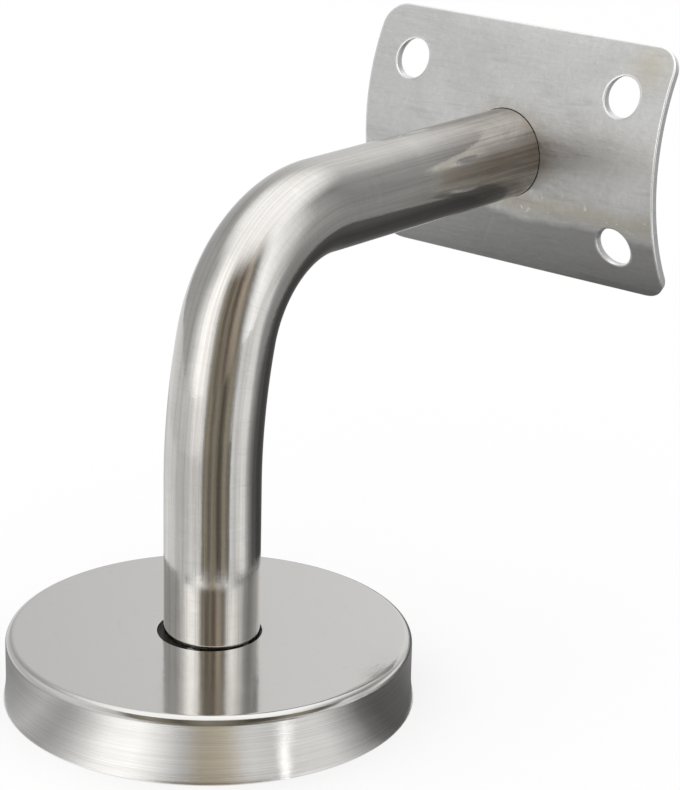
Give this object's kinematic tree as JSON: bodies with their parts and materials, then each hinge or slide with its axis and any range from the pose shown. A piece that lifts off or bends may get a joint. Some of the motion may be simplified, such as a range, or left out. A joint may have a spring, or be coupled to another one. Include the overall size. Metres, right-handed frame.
{
  "type": "handrail bracket",
  "caption": "Wall bracket with a bent round arm, a screw-on wall flange under a sliding cover rose, and a curved saddle plate that carries a handrail.",
  "frame": {"origin": "centre of the wall flange on the wall face", "axes": "+Z away from the wall along the arm's first leg, +Y towards the saddle and out of its hollow side, X along the rail"},
  "size_m": [0.0684, 0.1193, 0.1014],
  "materials": {
    "flange_steel": "turned stainless steel",
    "weld_bead": "cleaned stainless weld",
    "arm_satin": "drawn tube, satin polished",
    "saddle_mill": "matt mill-finish sheet",
    "cover_brushed": "pressed sheet, satin top and circumferentially brushed wall"
  },
  "bodies": {
    "bracket": {"wall_flange": "flange_steel", "flange_weld": "weld_bead", "arm_tube": "arm_satin", "saddle_plate": "saddle_mill", "saddle_weld": "weld_bead"},
    "cover": {"cover_rose": "cover_brushed"}
  },
  "joints": [
    {"name": "cover_slide", "type": "slide", "parent": "bracket", "child": "cover", "axis": [0, 0, 1], "range_m": [0, 0.025]}
  ]
}
